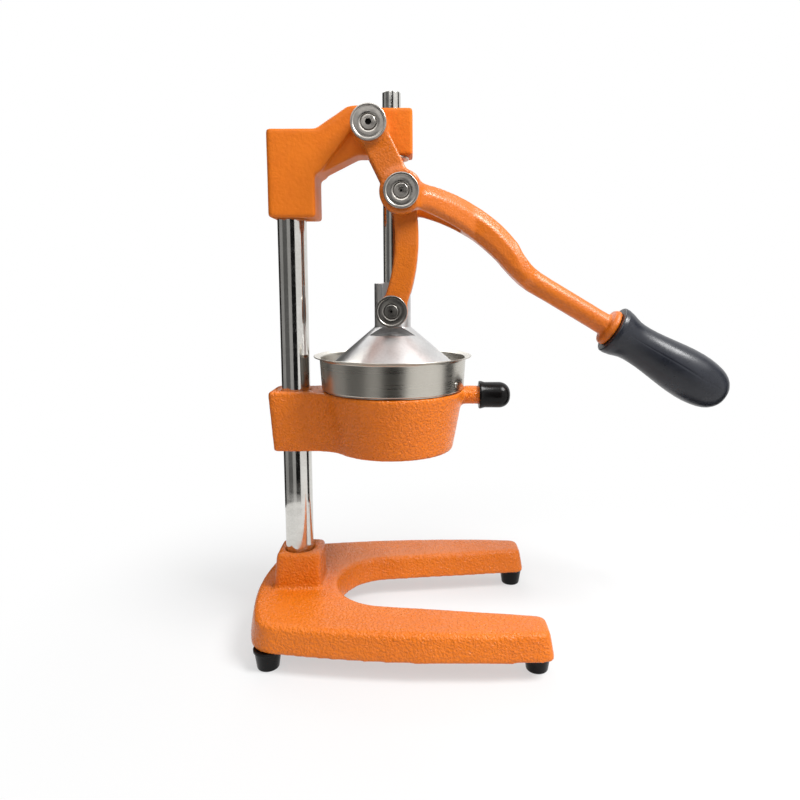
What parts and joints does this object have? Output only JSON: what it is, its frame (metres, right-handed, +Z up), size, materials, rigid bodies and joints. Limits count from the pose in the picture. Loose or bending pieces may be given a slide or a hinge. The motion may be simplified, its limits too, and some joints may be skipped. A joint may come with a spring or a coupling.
{
  "type": "lever citrus press",
  "caption": "Hand press for citrus: a long lever drives a press cup down a rod into a strainer bowl held over a U-shaped base.",
  "frame": {"origin": "centre of the bounding box's underside, on the counter under the feet", "axes": "+X towards the open side of the base and the lever's grip, -Y the side seen in the picture, +Z up"},
  "size_m": [0.3556, 0.172, 0.395],
  "materials": {
    "orange_paint": "gloss orange paint over a sand casting",
    "rubber": "black rubber",
    "grip": "dark grey moulded grip",
    "chrome": "bright plated steel",
    "steel": "machined steel",
    "sheet": "brushed stainless sheet",
    "cast_aluminium": "satin cast aluminium",
    "bronze": "turned bush"
  },
  "bodies": {
    "stand": {"base_casting": "orange_paint", "foot_front_left": "rubber", "foot_front_right": "rubber", "foot_rear_left": "rubber", "foot_rear_right": "rubber", "foot_screws": "steel", "column": "chrome", "column_bolt": "steel", "column_washer": "steel", "head_casting": "orange_paint", "head_set_screws": "steel", "ram_bush": "bronze", "bowl_holder": "orange_paint", "holder_set_screws": "steel", "stub_cap": "rubber", "juice_funnel": "sheet", "strainer_bowl": "sheet", "bowl_rivets": "steel", "reamer": "cast_aluminium"},
    "lever": {"lever_casting": "orange_paint", "lever_grip": "grip", "head_pivot_pin": "steel", "head_pivot_cap_front": "steel", "head_pivot_cap_rear": "steel", "head_pivot_screws": "steel", "elbow_pin_front": "steel", "elbow_pin_rear": "steel", "elbow_cap_front": "steel", "elbow_cap_rear": "steel", "elbow_screws": "steel"},
    "links": {"link_front": "orange_paint", "link_rear": "orange_paint", "link_pin_front": "steel", "link_pin_rear": "steel", "link_cap_front": "steel", "link_cap_rear": "steel", "link_screws": "steel"},
    "ram": {"ram_rod": "chrome", "press_cup": "cast_aluminium", "hub_pin": "steel", "hub_grub_screw": "steel"}
  },
  "joints": [
    {"name": "lever_pivot", "type": "hinge", "parent": "stand", "child": "lever", "pos_m": [-0.0868, 0, 0.3667], "axis": [0, -1, 0], "range_deg": [0, 94]},
    {"name": "link_pivot", "type": "hinge", "parent": "lever", "child": "links", "pos_m": [-0.06529, 0, 0.32279], "axis": [0, -1, 0], "range_deg": [-109.12, 0]},
    {"name": "ram_slide", "type": "slide", "parent": "stand", "child": "ram", "axis": [0, 0, 1], "range_m": [0, 0.07336]}
  ],
  "couplings": [
    {"joint": "link_pivot", "follows": "lever_pivot", "ratio": -1.1598},
    {"joint": "ram_slide", "follows": "lever_pivot", "m_per_rad": 0.044594}
  ]
}
